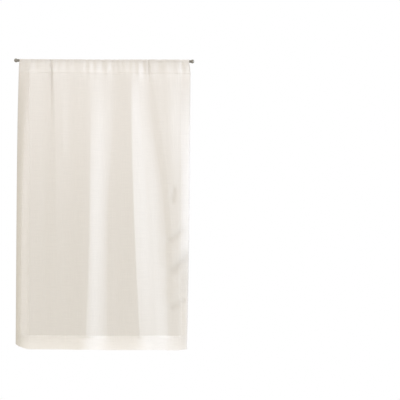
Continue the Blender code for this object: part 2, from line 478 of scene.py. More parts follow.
def panel_row(columns, height):
    """The points of the panel at one height over its lower edge, before its creases."""
    above_hem = max(0.0, height - HEM_DEPTH)
    share = 1 - above_hem / (PANEL_LENGTH - HEM_DEPTH)
    across = [
        at_level((line.x_top, line.x_high, line.x_mid, line.x_low), share) for line in FOLD_LINES
    ]
    depths = [
        at_level((line.y_top, line.y_high, line.y_mid, line.y_low), share) for line in FOLD_LINES
    ]
    slopes = monotone_slopes(across, depths)
    sharpening = min(1, SHARP_AT_SEAM + SHARPENING * share)
    points = []
    for left, part in columns:
        gap = across[left + 1] - across[left]
        rise = depths[left + 1] - depths[left]
        left_sharp = FOLD_LINES[left].sharp * sharpening
        right_sharp = FOLD_LINES[left + 1].sharp * sharpening
        depth = hermite(
            depths[left],
            depths[left + 1],
            slopes[left] * gap * (1 - left_sharp) + rise * left_sharp,
            slopes[left + 1] * gap * (1 - right_sharp) + rise * right_sharp,
            part,
        )
        drop = FOLD_LINES[left].drop * (1 - part) + FOLD_LINES[left + 1].drop * part
        hem_top = HEM_DEPTH - drop * MM
        if height <= HEM_DEPTH:
            z = height - drop * MM
        else:
            z = -STITCH_DROP + (hem_top + STITCH_DROP) * share
        x = across[left] + gap * part
        inward = smooth_step((x - across[0]) * MM / HEM_RETURN)
        ease = HEM_EASE * inward * max(0.0, 1 - height / HEM_DEPTH)
        depth += (HEM_MIDDLE - depth * MM) * ease / MM
        points.append((x * MM, depth * MM, z))
    return points


def smooth_step(share):
    share = np.clip(share, 0, 1)
    return share**2 * (3 - 2 * share)


def bell(distance):
    """A bell curve, 1 at its middle, over distances in half widths."""
    return np.exp(-(distance**2))


def gather_depth(x, below):
    """How deep the gathers are, and how much they pack the cloth, over arrays of x and of the distance
    below the seam.
    """
    total, packed = np.zeros_like(x), np.zeros_like(x)
    for gather in GATHERS:
        share = np.clip(below / (gather.reach * MM), 0, 1)
        centre = (gather.x_seam + (gather.x_end - gather.x_seam) * share) * MM
        width = gather.half_width * MM * (1 + GATHER_WIDENING * share)
        depth = gather.depth * MM * (1 - share) ** 2 * bell((x - centre) / width)
        total += depth
        packed += depth * min(1, gather.depth / gather.half_width)
    return total, packed


def gathers_up_pocket(x, up):
    """Each gather with its bell curve along x, this share of the way up the pocket."""
    for gather in GATHERS:
        centre = (gather.x_seam + (gather.x_rod - gather.x_seam) * up) * MM
        width = gather.half_width * MM * (1 - GATHER_NARROWING * up)
        yield gather, bell((x - centre) / width)


def gather_pull(x, up):
    """How tightly the pocket is pinched, over arrays of x and of the share of the way up it."""
    total = np.zeros_like(x)
    for gather, shape in gathers_up_pocket(x, up):
        tightness = min(1, LEAST_TIGHTNESS + gather.depth / gather.half_width)
        total += tightness * gather.depth * MM * shape
    return total * (1 + PULL_RISE * up + PULL_AT_ROD * up**PULL_AT_ROD_POWER)


def pocket_gathers(x, up):
    """Depth of the gathers this share of the way up the pocket, and how full it is between them."""
    depth, pull = np.zeros_like(x), np.zeros_like(x)
    for gather, shape in gathers_up_pocket(x, up):
        depth += gather.depth * MM * (1 - up) ** GATHER_FADE * shape
        pull += min(1, gather.depth / GATHER_CLOSING) * shape
    return depth, 1 - np.clip(pull, 0, 1)


def crease_heights(x, z):
    """How far the creases stand out towards the room, and how deep their troughs are, over arrays of x
    and z.
    """
    total, troughs = np.zeros_like(x), np.zeros_like(x)
    for crease in CREASES:
        start = np.array((crease.x_start, crease.z_start)) * MM
        along = np.array((crease.x_end, crease.z_end)) * MM - start
        length = np.hypot(*along)
        share = ((x - start[0]) * along[0] + (z - start[1]) * along[1]) / length**2
        away = ((x - start[0]) * along[1] - (z - start[1]) * along[0]) / length
        past_core = np.clip(np.abs(share - 0.5) - CREASE_CORE, 0, None)
        fade = np.exp(-2 * (past_core / CREASE_FADE) ** 2)
        height = crease.height * MM * fade * bell(away / (crease.half_width * MM))
        total += height
        troughs += np.clip(-height, 0, None)
    return total, troughs


class Ripple(NamedTuple):
    """A faint wave in the hanging cloth. Across and down are its turns in radians a metre, and it sways
    by this many radians at its own rate down the cloth.
    """

    share: float
    across: float
    down: float
    sway: float
    sway_rate: float
    start: float


RIPPLES = (
    Ripple(1.0, 31, 0.0, 1.3, 2.1, 0.4),
    Ripple(0.7, 53, -1.9, 1.1, 3.3, 0.0),
    Ripple(0.5, 84, 2.7, 0.0, 0.0, 0.0),
)


def wander(x, z):
    """Small unevenness of the hanging cloth, a few tenths of a millimetre deep."""
    total = np.zeros_like(x)
    for ripple in RIPPLES:
        sway = ripple.sway * np.sin(ripple.sway_rate * z)
        total += ripple.share * np.sin(ripple.across * x + ripple.down * z + sway + ripple.start)
    return WANDER_HEIGHT * total


def spread_folds(x, depth, spread):
    """A row's depths with its folds rounded off over this distance, and its two ends kept."""
    reach = SPREAD_PADDING * spread
    start_slope = np.polyfit(x[:END_COLUMNS], depth[:END_COLUMNS], 1)[0]
    end_slope = np.polyfit(x[-END_COLUMNS:], depth[-END_COLUMNS:], 1)[0]
    wide_x = np.concatenate(([x[0] - reach], x, [x[-1] + reach]))
    wide_depth = np.concatenate(
        ([depth[0] - start_slope * reach], depth, [depth[-1] + end_slope * reach])
    )
    total, weights = np.zeros_like(x), 0.0
    for step in np.linspace(-SPREAD_REACH, SPREAD_REACH, SPREAD_SAMPLES):
        weight = np.exp(-(step**2) / 2)
        total += weight * np.interp(x + step * spread, wide_x, wide_depth)
        weights += weight
    return total / weights


def running_length(line):
    """How far along a line of points each of them lies."""
    steps = np.linalg.norm(np.diff(line, axis=0), axis=1)
    return np.concatenate(([0], np.cumsum(steps)))


class ClothGrid(NamedTuple):
    """The panel's front face and its pocket as arrays of points, and what lies where in them."""

    points: np.ndarray
    tucks_and_painted_shade: np.ndarray
    heights: list
    stitch_row: int
    left_hem: int
    right_hem: int
    edge_distance: np.ndarray


def pocket_rows(seam):
    """Rows of points from just above the seam, over the rod, to the pocket's turned edge."""
    x, y = seam[:, 0], seam[:, 1]
    half_width = FOLD_LINES[-1].x_top * MM
    edge = y + pocket_gathers(x, 0)[0]
    crown = POCKET_CROWN * pocket_gathers(x, 1)[1]
    crown += CROWN_RISE * smooth_step((x - CROWN_RISE_START) / CROWN_RISE_SPAN)
    radius = POCKET_RADIUS + crown
    rows = []

    def add(depth, height):
        closeness = np.clip(1 + np.minimum(height, 0) / STITCH_DROP, 0, None)
        narrowing = 1 - closeness * (1 - POCKET_HALF_WIDTH / half_width)
        rows.append(np.stack((x * narrowing, depth, np.full_like(x, height)), axis=1))

    for count in range(1, POCKET_FRONT_ROWS):
        share = count / POCKET_FRONT_ROWS
        pinch, fullness = pocket_gathers(x, share)
        bulge = POCKET_BULGE * fullness * sin(pi * share)
        add(y * (1 - share) - radius * share + pinch - bulge, -STITCH_DROP * (1 - share))
    for count in range(POCKET_ARC_STEPS + 1):
        turn = pi * count / POCKET_ARC_STEPS
        add(-radius * cos(turn), radius * sin(turn))
    for count in range(1, POCKET_BACK_ROWS + 1):
        share = count / POCKET_BACK_ROWS
        bulge = POCKET_BULGE * sin(pi * share)
        add((edge + POCKET_BACK_GAP) * share + radius * (1 - share) + bulge, -STITCH_DROP * share)
    for gap, drop in POCKET_TURNED_EDGE:
        add(edge + gap, -STITCH_DROP - drop)
    return rows


def hem_stiffness(x, height):
    """How far the hem's folds are rounded off at one height, over a row's x."""
    inward = smooth_step((x - x[0]) / HEM_RETURN)
    stiffening = HEM_STIFFENING + (HEM_DEPTH - HEM_STIFFENING) * (1 - inward)
    return smooth_step((HEM_DEPTH - height) / stiffening)


def crumple_panel(panel, heights):
    """Adds the gathers, the creases, the hem's stiffness and the edge's roll to the panel's depths. It
    returns how much the gathers pack the cloth, and how deep its troughs are.
    """
    x, depth, z = np.moveaxis(panel, 2, 0)
    below = np.clip(-STITCH_DROP - z, 0, None)
    gathers, packed = gather_depth(x, below)
    creases, troughs = crease_heights(x, z)
    depth += gathers - creases - wander(x, z) * np.clip(below / WANDER_START, 0, 1)
    for row, height in enumerate(heights):
        if height < HEM_DEPTH:
            spread = spread_folds(x[row], depth[row], HEM_SPREAD)
            depth[row] += (spread - depth[row]) * hem_stiffness(x[row], height)
    from_right = x[:, -1:] - x
    depth += EDGE_ROLL * np.exp(-from_right / EDGE_ROLL_REACH) * smooth_step(below / EDGE_ROLL_FULL)
    return packed, troughs


def tucks_with_painted_shade(packed, troughs, pocket, edge_distance):
    """How tightly the cloth is packed at each point of the panel and then the pocket, as tucks. They
    also set its painted shade, and are raised in the creases' troughs, along the edges and in front of
    the rod.
    """
    x, z = pocket[:, :, 0], pocket[:, :, 2]
    up = np.clip(1 + z / STITCH_DROP, 0, 1)
    packed = np.concatenate((packed, gather_pull(x, up)))
    tucks_and_painted_shade = np.clip((packed - TUCK_START) / (TUCK_FULL - TUCK_START), 0, TUCK_LIMIT)
    # Painted shade in the creases' troughs
    tucks_and_painted_shade[: len(troughs)] += troughs / TROUGH_FULL
    # Painted shade on the pocket where the dark rod lies behind it
    tucks_and_painted_shade[len(troughs) :] += PAINTED_ROD_SHADE * bell((z + PAINTED_ROD_SHADE_DROP) / PAINTED_ROD_SHADE_REACH)
    # Painted shade along the folded edges, where the cloth also hides more
    edge_shade = np.clip(EDGE_SHADE_END - edge_distance / EDGE_SHADE_WIDTH, 0, 1)
    return np.maximum(tucks_and_painted_shade, edge_shade)


@lru_cache(maxsize=1)
def cloth_grid(column_spacing, row_spacing):
    columns = cloth_columns(column_spacing)
    heights = panel_heights(row_spacing)
    panel = np.array([panel_row(columns, height) for height in heights])
    pocket = np.array(pocket_rows(panel[-1]))
    packed, troughs = crumple_panel(panel, heights)
    from_left = running_length(panel[len(heights) // 2])
    edge_distance = np.minimum(from_left, from_left[-1] - from_left)
    return ClothGrid(
        points=np.concatenate((panel, pocket)),
        tucks_and_painted_shade=tucks_with_painted_shade(packed, troughs, pocket, edge_distance),
        heights=heights,
        stitch_row=len(heights) - 1,
        left_hem=columns.index(Column(LINE_NAMES.index("left hem"), 0.0)),
        right_hem=columns.index(Column(LINE_NAMES.index("right hem"), 0.0)),
        edge_distance=edge_distance,
    )


def grid_normals(points):
    """Unit normals towards the back of the cloth, over rows and columns of points."""
    up = np.gradient(points, axis=0)
    across = np.gradient(points, axis=1)
    normals = np.cross(up, across)
    return normals / np.linalg.norm(normals, axis=2, keepdims=True)


def fold_ramp(distance):
    """How far a turned layer has opened, from 0 at its fold to 1 a fold's radius away."""
    closeness = 1 - np.clip(distance / FOLD_RADIUS, 0, 1)
    return np.sqrt(1 - closeness**2)


def shifted(base, shifts, down):
    """A paleness with its shifts, over an array of shares of the way down the panel."""
    return base + sum(
        shift.amount * smooth_step((down - shift.start) / shift.span) for shift in shifts
    )


def between(ends, share):
    return ends[0] + (ends[1] - ends[0]) * share


def pale_bands(height, up):
    """Which rows lie in the hem and which in the pocket, and how pale each row shows there."""
    hem = between((HEM_TOP_PALENESS, HEM_EDGE_PALENESS), 1 - height / HEM_DEPTH)
    # Painted shade: the pocket is less pale up towards the rod
    pocket = np.where(up > 0, POCKET_PALENESS + POCKET_SEAM_GAIN * (1 - up) ** 2, MARGIN_PALENESS)
    in_hem = height <= HEM_DEPTH
    in_pocket = height >= PANEL_LENGTH - POCKET_MARGIN - ROUNDING
    return in_hem, in_pocket, np.where(in_hem, hem, np.where(in_pocket, pocket, 0.0))


def cloth_doubling_and_painted_light(grid, heights, rows, columns):
    """How pale the turned cloth shows at each point, from 0 for one layer to 1 for the lower hem. Over
    the real doubling it carries painted light and shade.
    """
    height = heights[rows]
    z = grid.points[rows, 0, 2]
    in_hem, in_pocket, band = pale_bands(height, np.clip(1 + z / STITCH_DROP, 0, 1))
    on_right = smooth_step((grid.points[0, columns, 0] - RIGHT_START) / RIGHT_SPAN)
    loss = np.where(in_hem, RIGHT_HEM_LOSS, RIGHT_POCKET_LOSS)
    band = band[:, None] - loss[:, None] * on_right

    left_side, right_side = columns <= grid.left_hem, columns >= grid.right_hem
    # Painted shade: the left return darkens towards its edge
    from_left = smooth_step((columns - LEFT_RUN_COLUMN) / (LEFT_RUN_SHARE * grid.left_hem))
    lower_corner = np.where(left_side, between(LOWER_LEFT_CORNER, from_left), 1.0)
    upper_corner = np.where(right_side, UPPER_RIGHT_CORNER, 1.0)
    upper_corner = np.where(left_side, between(UPPER_LEFT_CORNER, from_left), upper_corner)

    down = np.clip(1 - height / PANEL_LENGTH, 0, 1)[:, None]
    inner = (columns / grid.left_hem - LEFT_INNER_START) / (1 - LEFT_INNER_START)
    inner_factor = 1 - LEFT_INNER_LOSS * smooth_step(inner)
    # Painted light and shade: the side hems grow paler or darker down the panel
    left = shifted(LEFT_SIDE_PALENESS, LEFT_SIDE_SHIFTS, down) + LEFT_SIDE_SLOPE * down
    last = grid.points.shape[1] - 1
    to_edge = smooth_step((columns - grid.right_hem) / (last - grid.right_hem))
    right = shifted(RIGHT_SIDE_PALENESS, RIGHT_SIDE_SHIFTS, down)
    right = right + shifted(RIGHT_EDGE_PALENESS, RIGHT_EDGE_SHIFTS, down) * to_edge
    side = np.where(left_side, left * lower_corner * inner_factor, 0.0)
    side = np.where(right_side, right, side)

    below = np.clip(-STITCH_DROP - z, 0, None)[:, None]
    # Painted light below the seam and on the right
    glow = PAINTED_SEAM_LIGHT * np.exp(-below / PAINTED_SEAM_LIGHT_REACH)
    glow = glow + PAINTED_RIGHT_LIGHT * np.exp(-below / PAINTED_RIGHT_LIGHT_REACH) * on_right
    doubling_and_painted_light = np.where(in_pocket[:, None], band * upper_corner, side + glow)
    return np.where(in_hem[:, None], band * lower_corner, doubling_and_painted_light)


def turned_cloth(grid):
    """The whole cut cloth: the front and pocket, and the hems turned in behind them. It returns the
    points, how pale and how tucked each one is, both with painted light and shade, and its place across
    and along the cut cloth.
    """
    points, back = grid.points, grid_normals(grid.points)
    last = points.shape[1] - 1
    hem_rows = [row for row, height in enumerate(grid.heights) if height <= HEM_DEPTH - ROUNDING]
    row_order = [(row, 1) for row in reversed(hem_rows[1:])]
    row_order += [(row, 0) for row in range(len(points))]
    column_order = [(column, 1) for column in range(grid.left_hem, 0, -1)]
    column_order += [(column, 0) for column in range(last + 1)]
    column_order += [(column, 1) for column in range(last - 1, grid.right_hem - 1, -1)]
    rows, row_layers = np.array(row_order).T
    columns, column_layers = np.array(column_order).T
    heights = np.array(grid.heights + [PANEL_LENGTH] * (len(points) - len(grid.heights)))
    hem_offset = HEM_GAP * row_layers * fold_ramp(heights[rows])
    side_offset = SIDE_GAP * column_layers * fold_ramp(grid.edge_distance[columns])
    side_share = np.where(rows > grid.stitch_row, POCKET_SIDE_SHARE, 1.0)
    offset = hem_offset[:, None] + side_offset[None, :] * side_share[:, None]
    cloth = points[np.ix_(rows, columns)] + back[np.ix_(rows, columns)] * offset[:, :, None]
    doubling_and_painted_light = cloth_doubling_and_painted_light(grid, heights, rows, columns)
    tucks_and_painted_shade = grid.tucks_and_painted_shade[np.ix_(rows, columns)]
    across = running_length(cloth[len(rows) // 2])
    along = running_length(cloth[:, cloth.shape[1] // 2])
    return cloth, doubling_and_painted_light, tucks_and_painted_shade, across, along


def feed(tree, node, inputs):
    """Links a node's inputs to the sockets given as their values, or sets the values on them."""
    for name, value in inputs.items():
        if isinstance(value, bpy.types.NodeSocket):
            tree.links.new(value, node.inputs[name])
        else:
            node.inputs[name].default_value = value


def add_node(tree, kind, inputs=None, **settings):
    """A shader node with these settings, and with these values or links on its inputs."""
    node = tree.nodes.new(kind)
    for name, value in settings.items():
        setattr(node, name, value)
    feed(tree, node, inputs or {})
    return node


def math_node(tree, operation, *values):
    inputs = dict(enumerate(values))
    return add_node(tree, "ShaderNodeMath", inputs, operation=operation).outputs[0]


def varied(tree, mask, middle, spread):
    """A value that follows a mask around 0.5, spread this far in all around its middle."""
    return math_node(tree, "MULTIPLY_ADD", mask, spread, middle - spread / 2)


def relief(tree, height, strength, depth):
    """A surface's normal, bumped by a height."""
    inputs = {"Strength": strength, "Distance": depth, "Height": height}
    return add_node(tree, "ShaderNodeBump", inputs).outputs["Normal"]


def mix_colours(tree, factor, first, second, blend="MIX"):
    """Two colours mixed. The sockets go by number, because several of the mix node's share a name."""
    inputs = {0: factor, 6: first, 7: second}
    node = add_node(tree, "ShaderNodeMix", inputs, data_type="RGBA", blend_type=blend)
    return node.outputs[2]


def new_group(name, inputs, outputs):
    """A node group's tree, its input node and its output node. Inputs are names with their types."""
    tree = bpy.data.node_groups.new(name, "ShaderNodeTree")
    for title, kind in inputs.items():
        tree.interface.new_socket(name=title, in_out="INPUT", socket_type=kind)
    for title in outputs:
        tree.interface.new_socket(name=title, in_out="OUTPUT", socket_type="NodeSocketFloat")
    return tree, tree.nodes.new("NodeGroupInput"), tree.nodes.new("NodeGroupOutput")


def new_material(name):
    material = bpy.data.materials.new(name)
    material.use_nodes = True
    return material, material.node_tree, material.node_tree.nodes["Principled BSDF"]


# Turns of the weave's noise in a metre, across and along the cloth
WARP_SCALE = (420, 7)
WEFT_SCALE = (9, 380)
YARN_SCALE = (900, 900)
YARN_SHARE = 0.3


def stretched_noise(tree, vector, scale, detail=2.0):
    """Noise with its own scale across and along the cloth."""
    mapping = add_node(tree, "ShaderNodeMapping", {"Vector": vector, "Scale": (*scale, 1)})
    inputs = {"Vector": mapping.outputs["Vector"], "Scale": 1, "Detail": detail}
    return add_node(tree, "ShaderNodeTexNoise", inputs, noise_dimensions="2D").outputs["Fac"]


def slub_weave_group():
    """Uneven yarns of a plain linen-look weave: a mask around 0.5 for tone and one for height."""
    name = "slub_weave"
    if name in bpy.data.node_groups:
        return bpy.data.node_groups[name]
    tree, start, end = new_group(name, {"Vector": "NodeSocketVector"}, ["Tone", "Height"])
    vector = start.outputs["Vector"]
    warp = stretched_noise(tree, vector, WARP_SCALE)
    weft = stretched_noise(tree, vector, WEFT_SCALE)
    yarns = stretched_noise(tree, vector, YARN_SCALE, 1.0)
    tone = math_node(tree, "MULTIPLY", math_node(tree, "ADD", warp, weft), 0.5)
    height = math_node(tree, "MULTIPLY_ADD", yarns, YARN_SHARE, tone)
    feed(tree, end, {"Tone": tone, "Height": height})
    return tree


# How far the yarns vary the cloth's tone, opacity and roughness, what packed or hemmed cloth adds to
# its opacity, and how much painted shade a full tuck gives
TONE_SPREAD = 0.09
OPACITY_SPREAD = 0.12
ROUGHNESS_SPREAD = 0.1
PAINTED_TUCK_SHADE = 0.2
HEMMED_FROM = 0.78
PACKED_OPACITY = 0.16


def voile_material(settings):
    """The sheer cloth: paler where it is doubled and where light is painted on, darker with painted
    shade where it is tucked, and a little see-through between its yarns.
    """
    material, tree, shader = new_material("voile")
    uv = add_node(tree, "ShaderNodeUVMap", uv_map="cut_cloth").outputs["UV"]
    metres = add_node(tree, "ShaderNodeMapping", {"Vector": uv, "Scale": (UV_SPAN, UV_SPAN, 1)})
    inputs = {"Vector": metres.outputs["Vector"]}
    weave = add_node(tree, "ShaderNodeGroup", inputs, node_tree=slub_weave_group())
    tone = weave.outputs["Tone"]
    doubling_and_painted_light, tucks_and_painted_shade = (
        add_node(tree, "ShaderNodeAttribute", attribute_name=name).outputs["Fac"]
        for name in ("doubling_and_painted_light", "tucks_and_painted_shade")
    )
    single, doubled = (*settings.single_colour, 1), (*settings.doubled_colour, 1)
    cloth = mix_colours(tree, doubling_and_painted_light, single, doubled)
    toned = mix_colours(tree, 1.0, cloth, varied(tree, tone, 1.0, TONE_SPREAD), "MULTIPLY")
    # Painted shade: the tucks darken the cloth's colour
    shade = math_node(tree, "MULTIPLY_ADD", tucks_and_painted_shade, -PAINTED_TUCK_SHADE, 1.0)
    hemmed = add_node(tree, "ShaderNodeMapRange", {"Value": doubling_and_painted_light, "From Min": HEMMED_FROM})
    packed = math_node(tree, "MAXIMUM", hemmed.outputs["Result"], tucks_and_painted_shade)
    opacity = varied(tree, tone, settings.opacity, OPACITY_SPREAD)
    inputs = {
        "Base Color": mix_colours(tree, 1.0, toned, shade, "MULTIPLY"),
        "Alpha": math_node(tree, "MULTIPLY_ADD", packed, PACKED_OPACITY, opacity),
        "Roughness": varied(tree, tone, 0.83, ROUGHNESS_SPREAD),
        "Normal": relief(tree, weave.outputs["Height"], 0.25, 0.2 * MM),
        "Specular IOR Level": 0.15,
    }
    feed(tree, shader, inputs)
    return material


def thread_material(settings):
    """Spun polyester sewing thread in the cloth's own shade."""
    material, tree, shader = new_material("thread")
    place = add_node(tree, "ShaderNodeTexCoord").outputs["Object"]
    noise = add_node(tree, "ShaderNodeTexNoise", {"Vector": place, "Scale": 900})
    pale, dark = (*settings.doubled_colour, 1), (*settings.single_colour, 1)
    inputs = {
        "Base Color": mix_colours(tree, noise.outputs["Fac"], pale, dark),
        "Roughness": 0.55,
    }
    feed(tree, shader, inputs)
    return material


def worn_metal_group():
    """Fine turning lines and cloudy wear on a satin metal, as a tone and a roughness mask."""
    name = "worn_metal"
    if name in bpy.data.node_groups:
        return bpy.data.node_groups[name]
    inputs = {"Vector": "NodeSocketVector", "Line Scale": "NodeSocketFloat"}
    tree, start, end = new_group(name, inputs, ["Tone", "Wear"])
    vector, line_scale = start.outputs["Vector"], start.outputs["Line Scale"]
    split = add_node(tree, "ShaderNodeSeparateXYZ", {"Vector": vector})
    turned = {"W": split.outputs["X"], "Scale": line_scale, "Detail": 2}
    lines = add_node(tree, "ShaderNodeTexNoise", turned, noise_dimensions="1D")
    cloudy = {"Vector": vector, "Scale": 160, "Detail": 4}
    clouds = add_node(tree, "ShaderNodeTexNoise", cloudy)
    tone = varied(tree, lines.outputs["Fac"], 0.5, 0.5)
    wear = math_node(tree, "MULTIPLY_ADD", clouds.outputs["Fac"], 0.5, tone)
    feed(tree, end, {"Tone": tone, "Wear": wear})
    return tree


# Turning lines in a metre, and the metal's darkest and palest wear as shares of its colour
ROD_LINES = 900.0
FINIAL_LINES = 2500.0
DARK_WEAR = 0.75
PALE_WEAR = 1.3


def pewter_material(settings, name, line_scale):
    material, tree, shader = new_material(name)
    place = add_node(tree, "ShaderNodeTexCoord").outputs["Object"]
    inputs = {"Vector": place, "Line Scale": line_scale}
    metal = add_node(tree, "ShaderNodeGroup", inputs, node_tree=worn_metal_group())
    wear = metal.outputs["Wear"]
    dark, pale = (
        (*(share * channel for channel in settings.metal_colour), 1)
        for share in (DARK_WEAR, PALE_WEAR)
    )
    inputs = {
        "Base Color": mix_colours(tree, wear, dark, pale),
        "Roughness": varied(tree, wear, 0.36, 0.2),
        "Normal": relief(tree, metal.outputs["Tone"], 0.1, 0.1 * MM),
        "Metallic": 1,
    }
    feed(tree, shader, inputs)
    return material


class CURTAIN_OT_cloth(Operator):
    """Hang the voile panel from its rod pocket, with its hems turned in behind"""

    bl_idname = "curtain.cloth"
    bl_label = "Cloth"

    def execute(self, context):
        settings = context.scene.curtain_cloth
        grid = cloth_grid(settings.column_spacing, settings.row_spacing)
        cloth, doubling_and_painted_light, tucks_and_painted_shade, across, along = turned_cloth(grid)
        row_count, column_count = doubling_and_painted_light.shape
        corners = np.arange(row_count * column_count).reshape(row_count, column_count)
        faces = np.stack(
            (corners[:-1, :-1], corners[:-1, 1:], corners[1:, 1:], corners[1:, :-1]), axis=2
        )
        mesh = bpy.data.meshes.new("voile_panel")
        mesh.from_pydata(cloth.reshape(-1, 3).tolist(), [], faces.reshape(-1, 4).tolist())
        mesh.shade_smooth()
        for name, values in (("doubling_and_painted_light", doubling_and_painted_light), ("tucks_and_painted_shade", tucks_and_painted_shade)):
            layer = mesh.attributes.new(name, "FLOAT", "POINT")
            layer.data.foreach_set("value", values.ravel().astype(np.float32))
        places = np.stack(np.meshgrid(across, along), axis=2).reshape(-1, 2) / UV_SPAN
        uv_map = mesh.uv_layers.new(name="cut_cloth")
        loops = np.empty(len(mesh.loops), np.int32)
        mesh.loops.foreach_get("vertex_index", loops)
        uv_map.data.foreach_set("uv", places[loops].ravel().astype(np.float32))
        panel = new_object("voile_panel", mesh, voile_material(settings))
        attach(panel, "root")
        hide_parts("curtain")
        return {"FINISHED"}


def interpolated(places, known, points):
    """Points at these places along a line, from its points at the known ones."""
    return np.stack([np.interp(places, known, points[:, axis]) for axis in range(3)], axis=1)


def resampled(points, spacing):
    """Points this far apart along a line of points, and the line's direction at each."""
    length = running_length(points)
    wanted = np.arange(spacing / 2, length[-1], spacing)
    places = interpolated(wanted, length, points)
    directions = interpolated(wanted + spacing / 4, length, points) - places
    sizes = np.linalg.norm(directions, axis=1, keepdims=True)
    sizes[sizes == 0] = 1
    return places, directions / sizes


# A stitch's share of the space that it has, and how far below the hem's top its stitching lies at most
STITCH_SHARE = 0.8
HEM_STITCH_INSET = 3.1 * MM


def one_stitch(length, radius):
    """A single lockstitch, a long bead along X, as points and faces."""
    stitch = bmesh.new()
    bmesh.ops.create_uvsphere(stitch, u_segments=6, v_segments=4, radius=1)
    turn = Matrix.Rotation(radians(90), 4, "Y")
    bmesh.ops.transform(stitch, matrix=turn, verts=stitch.verts)
    size = Matrix.Diagonal((length / 2, radius, radius, 1))
    bmesh.ops.transform(stitch, matrix=size, verts=stitch.verts)
    points = np.array([vertex.co for vertex in stitch.verts])
    faces = [[vertex.index for vertex in face.verts] for face in stitch.faces]
    stitch.free()
    return points, faces


def seam_object(name, line, fronts, settings, material):
    """A row of stitches along a line of points on the cloth, lying on its room side."""
    places, directions = resampled(line, settings.stitch_length)
    share, known = np.linspace(0, 1, len(places)), np.linspace(0, 1, len(fronts))
    normals = interpolated(share, known, fronts)
    bead, bead_faces = one_stitch(settings.stitch_length * STITCH_SHARE, settings.thread_radius)
    points, faces = [], []
    for place, direction, normal in zip(places, directions, normals):
        side = np.cross(normal, direction)
        base = len(points)
        turned = bead @ np.stack((direction, side, normal))
        points += (turned + place + normal * settings.thread_radius).tolist()
        faces += [[base + index for index in face] for face in bead_faces]
    mesh = bpy.data.meshes.new(name)
    mesh.from_pydata(points, [], faces)
    mesh.shade_smooth()
    return new_object(name, mesh, material)


class CURTAIN_OT_seams(Operator):
    """Sew the pocket, the lower hem and the side hems with rows of small stitches"""

    bl_idname = "curtain.seams"
    bl_label = "Seams"

    def execute(self, context):
        cloth = context.scene.curtain_cloth
        settings = context.scene.curtain_seams
        grid = cloth_grid(cloth.column_spacing, cloth.row_spacing)
        fronts = -grid_normals(grid.points)
        hem_row = int(np.searchsorted(grid.heights, HEM_DEPTH - HEM_STITCH_INSET))
        top, left, right = grid.stitch_row, grid.left_hem - 1, grid.right_hem + 1
        material = thread_material(cloth)
        lines = {
            "pocket_stitching": (slice(top, top + 1), slice(None)),
            "hem_stitching": (slice(hem_row, hem_row + 1), slice(None)),
            "left_side_stitching": (slice(0, top), slice(left, left + 1)),
            "right_side_stitching": (slice(0, top), slice(right, right + 1)),
        }
        for name, where in lines.items():
            line = grid.points[where].reshape(-1, 3)
            seam = seam_object(name, line, fronts[where].reshape(-1, 3), settings, material)
            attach(seam, "root")
        return {"FINISHED"}


# Distance out from the tube's end, and radius, down a finial from its spigot to its ball
COLLAR_PROFILE = (
    (-18.0, 5.2),
    (-16.5, 6.7),
    (0.3, 6.7),
    (0.3, 9.3),
    (0.6, 9.8),
    (1.1, 10.0),
    (9.6, 10.0),
    (10.3, 9.8),
    (10.7, 9.2),
    (10.9, 8.4),
)
BALL_CENTRE = 23.0
BALL_RADIUS = 14.0
BALL_STEPS = 26
BALL_START = radians(36)
BALL_END = radians(177)
SMOOTH_ANGLE = radians(35)


def finial_profile():
    """The collar's profile and then the ball's arc, up to just short of its tip. Millimetres."""
    profile = list(COLLAR_PROFILE)
    for count in range(BALL_STEPS + 1):
        turn = BALL_START + (BALL_END - BALL_START) * count / BALL_STEPS
        profile.append((BALL_CENTRE - BALL_RADIUS * cos(turn), BALL_RADIUS * sin(turn)))
    return profile


def turned_finial(name, side, sides, material):
    """A turned finial, drawn out ring by ring from the spigot's end to the ball's tip."""
    profile = finial_profile()
    deselect_all()
    out, radius = profile[0]
    bpy.ops.mesh.primitive_circle_add(
        vertices=sides,
        radius=radius * MM,
        fill_type="NGON",
        location=(side * (ROD_END + out * MM), 0, 0),
        rotation=(0, side * radians(90), 0),
    )
    finial = bpy.context.object
    finial.name = name
    bpy.ops.object.transform_apply(location=True, rotation=True, scale=True)
    bpy.ops.object.mode_set(mode="EDIT")
    bpy.ops.mesh.select_all(action="SELECT")
    for (old_out, old_radius), (out, radius) in zip(profile, profile[1:]):
        step = side * (out - old_out) * MM
        bpy.ops.mesh.extrude_region_move(TRANSFORM_OT_translate={"value": (step, 0, 0)})
        scale = radius / old_radius
        centre = (side * (ROD_END + out * MM), 0, 0)
        bpy.ops.transform.resize(value=(1, scale, scale), center_override=centre)
    bpy.ops.mesh.merge(type="CENTER")
    bpy.ops.mesh.select_all(action="SELECT")
    bpy.ops.mesh.normals_make_consistent(inside=False)
    bpy.ops.object.mode_set(mode="OBJECT")
    bpy.ops.object.shade_smooth_by_angle(angle=SMOOTH_ANGLE)
    finial.data.materials.clear()
    finial.data.materials.append(material)
    return finial


class CURTAIN_OT_hardware(Operator):
    """Finish the rod in satin pewter and turn its two ball finials"""

    bl_idname = "curtain.hardware"
    bl_label = "Rod and finials"

    def execute(self, context):
        settings = context.scene.curtain_hardware
        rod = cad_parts["rod"]
        rod.data.materials.clear()
        rod.data.materials.append(pewter_material(settings, "rod_pewter", ROD_LINES))
        metal = pewter_material(settings, "finial_pewter", FINIAL_LINES)
        for name, side in (("finial_left", -1), ("finial_right", 1)):
            finial = turned_finial("ball_" + name, side, settings.sides, metal)
            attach(finial, "root")
            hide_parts(name)
        return {"FINISHED"}


# The picture is square. Its middle is this far from the origin in the plane of the rod, and this wide
PICTURE_X = 711 * MM
PICTURE_Z = -1019 * MM
PICTURE_WIDTH = 2.944
PICTURE_ROLL = radians(0.35)
SENSOR = 36


